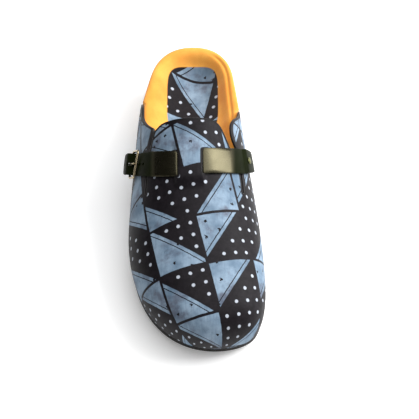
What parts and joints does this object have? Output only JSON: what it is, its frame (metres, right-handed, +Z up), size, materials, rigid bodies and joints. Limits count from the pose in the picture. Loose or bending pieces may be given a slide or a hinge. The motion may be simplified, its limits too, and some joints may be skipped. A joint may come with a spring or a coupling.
{
  "type": "cork footbed clog",
  "caption": "Right-foot closed-toe clog: contoured cork footbed with suede lining, printed leather upper with a slit tongue, and a slotted metallic strap buckled on the outer side.",
  "frame": {"origin": "on the floor under the middle of the clog's bounding box", "axes": "+Z up, heel towards +Y and toe towards -Y, big toe side towards +X"},
  "size_m": [0.1053, 0.255, 0.0919],
  "materials": {
    "sole_rubber": "matt moulded sole rubber",
    "cork": "granular pressed cork, sealed",
    "suede": "orange suede nap",
    "printed_leather": "printed smooth leather, satin",
    "metallic_leather": "bronze metallic coated leather",
    "dark_brass": "polished dark brass"
  },
  "bodies": {
    "root": {"outsole": "sole_rubber", "cork_footbed": "cork", "footbed_lining": "suede", "upper": "printed_leather", "strap": "metallic_leather", "buckle_tab": "metallic_leather", "buckle_frame": "dark_brass", "buckle_prong": "dark_brass", "rivet": "dark_brass"}
  },
  "joints": []
}
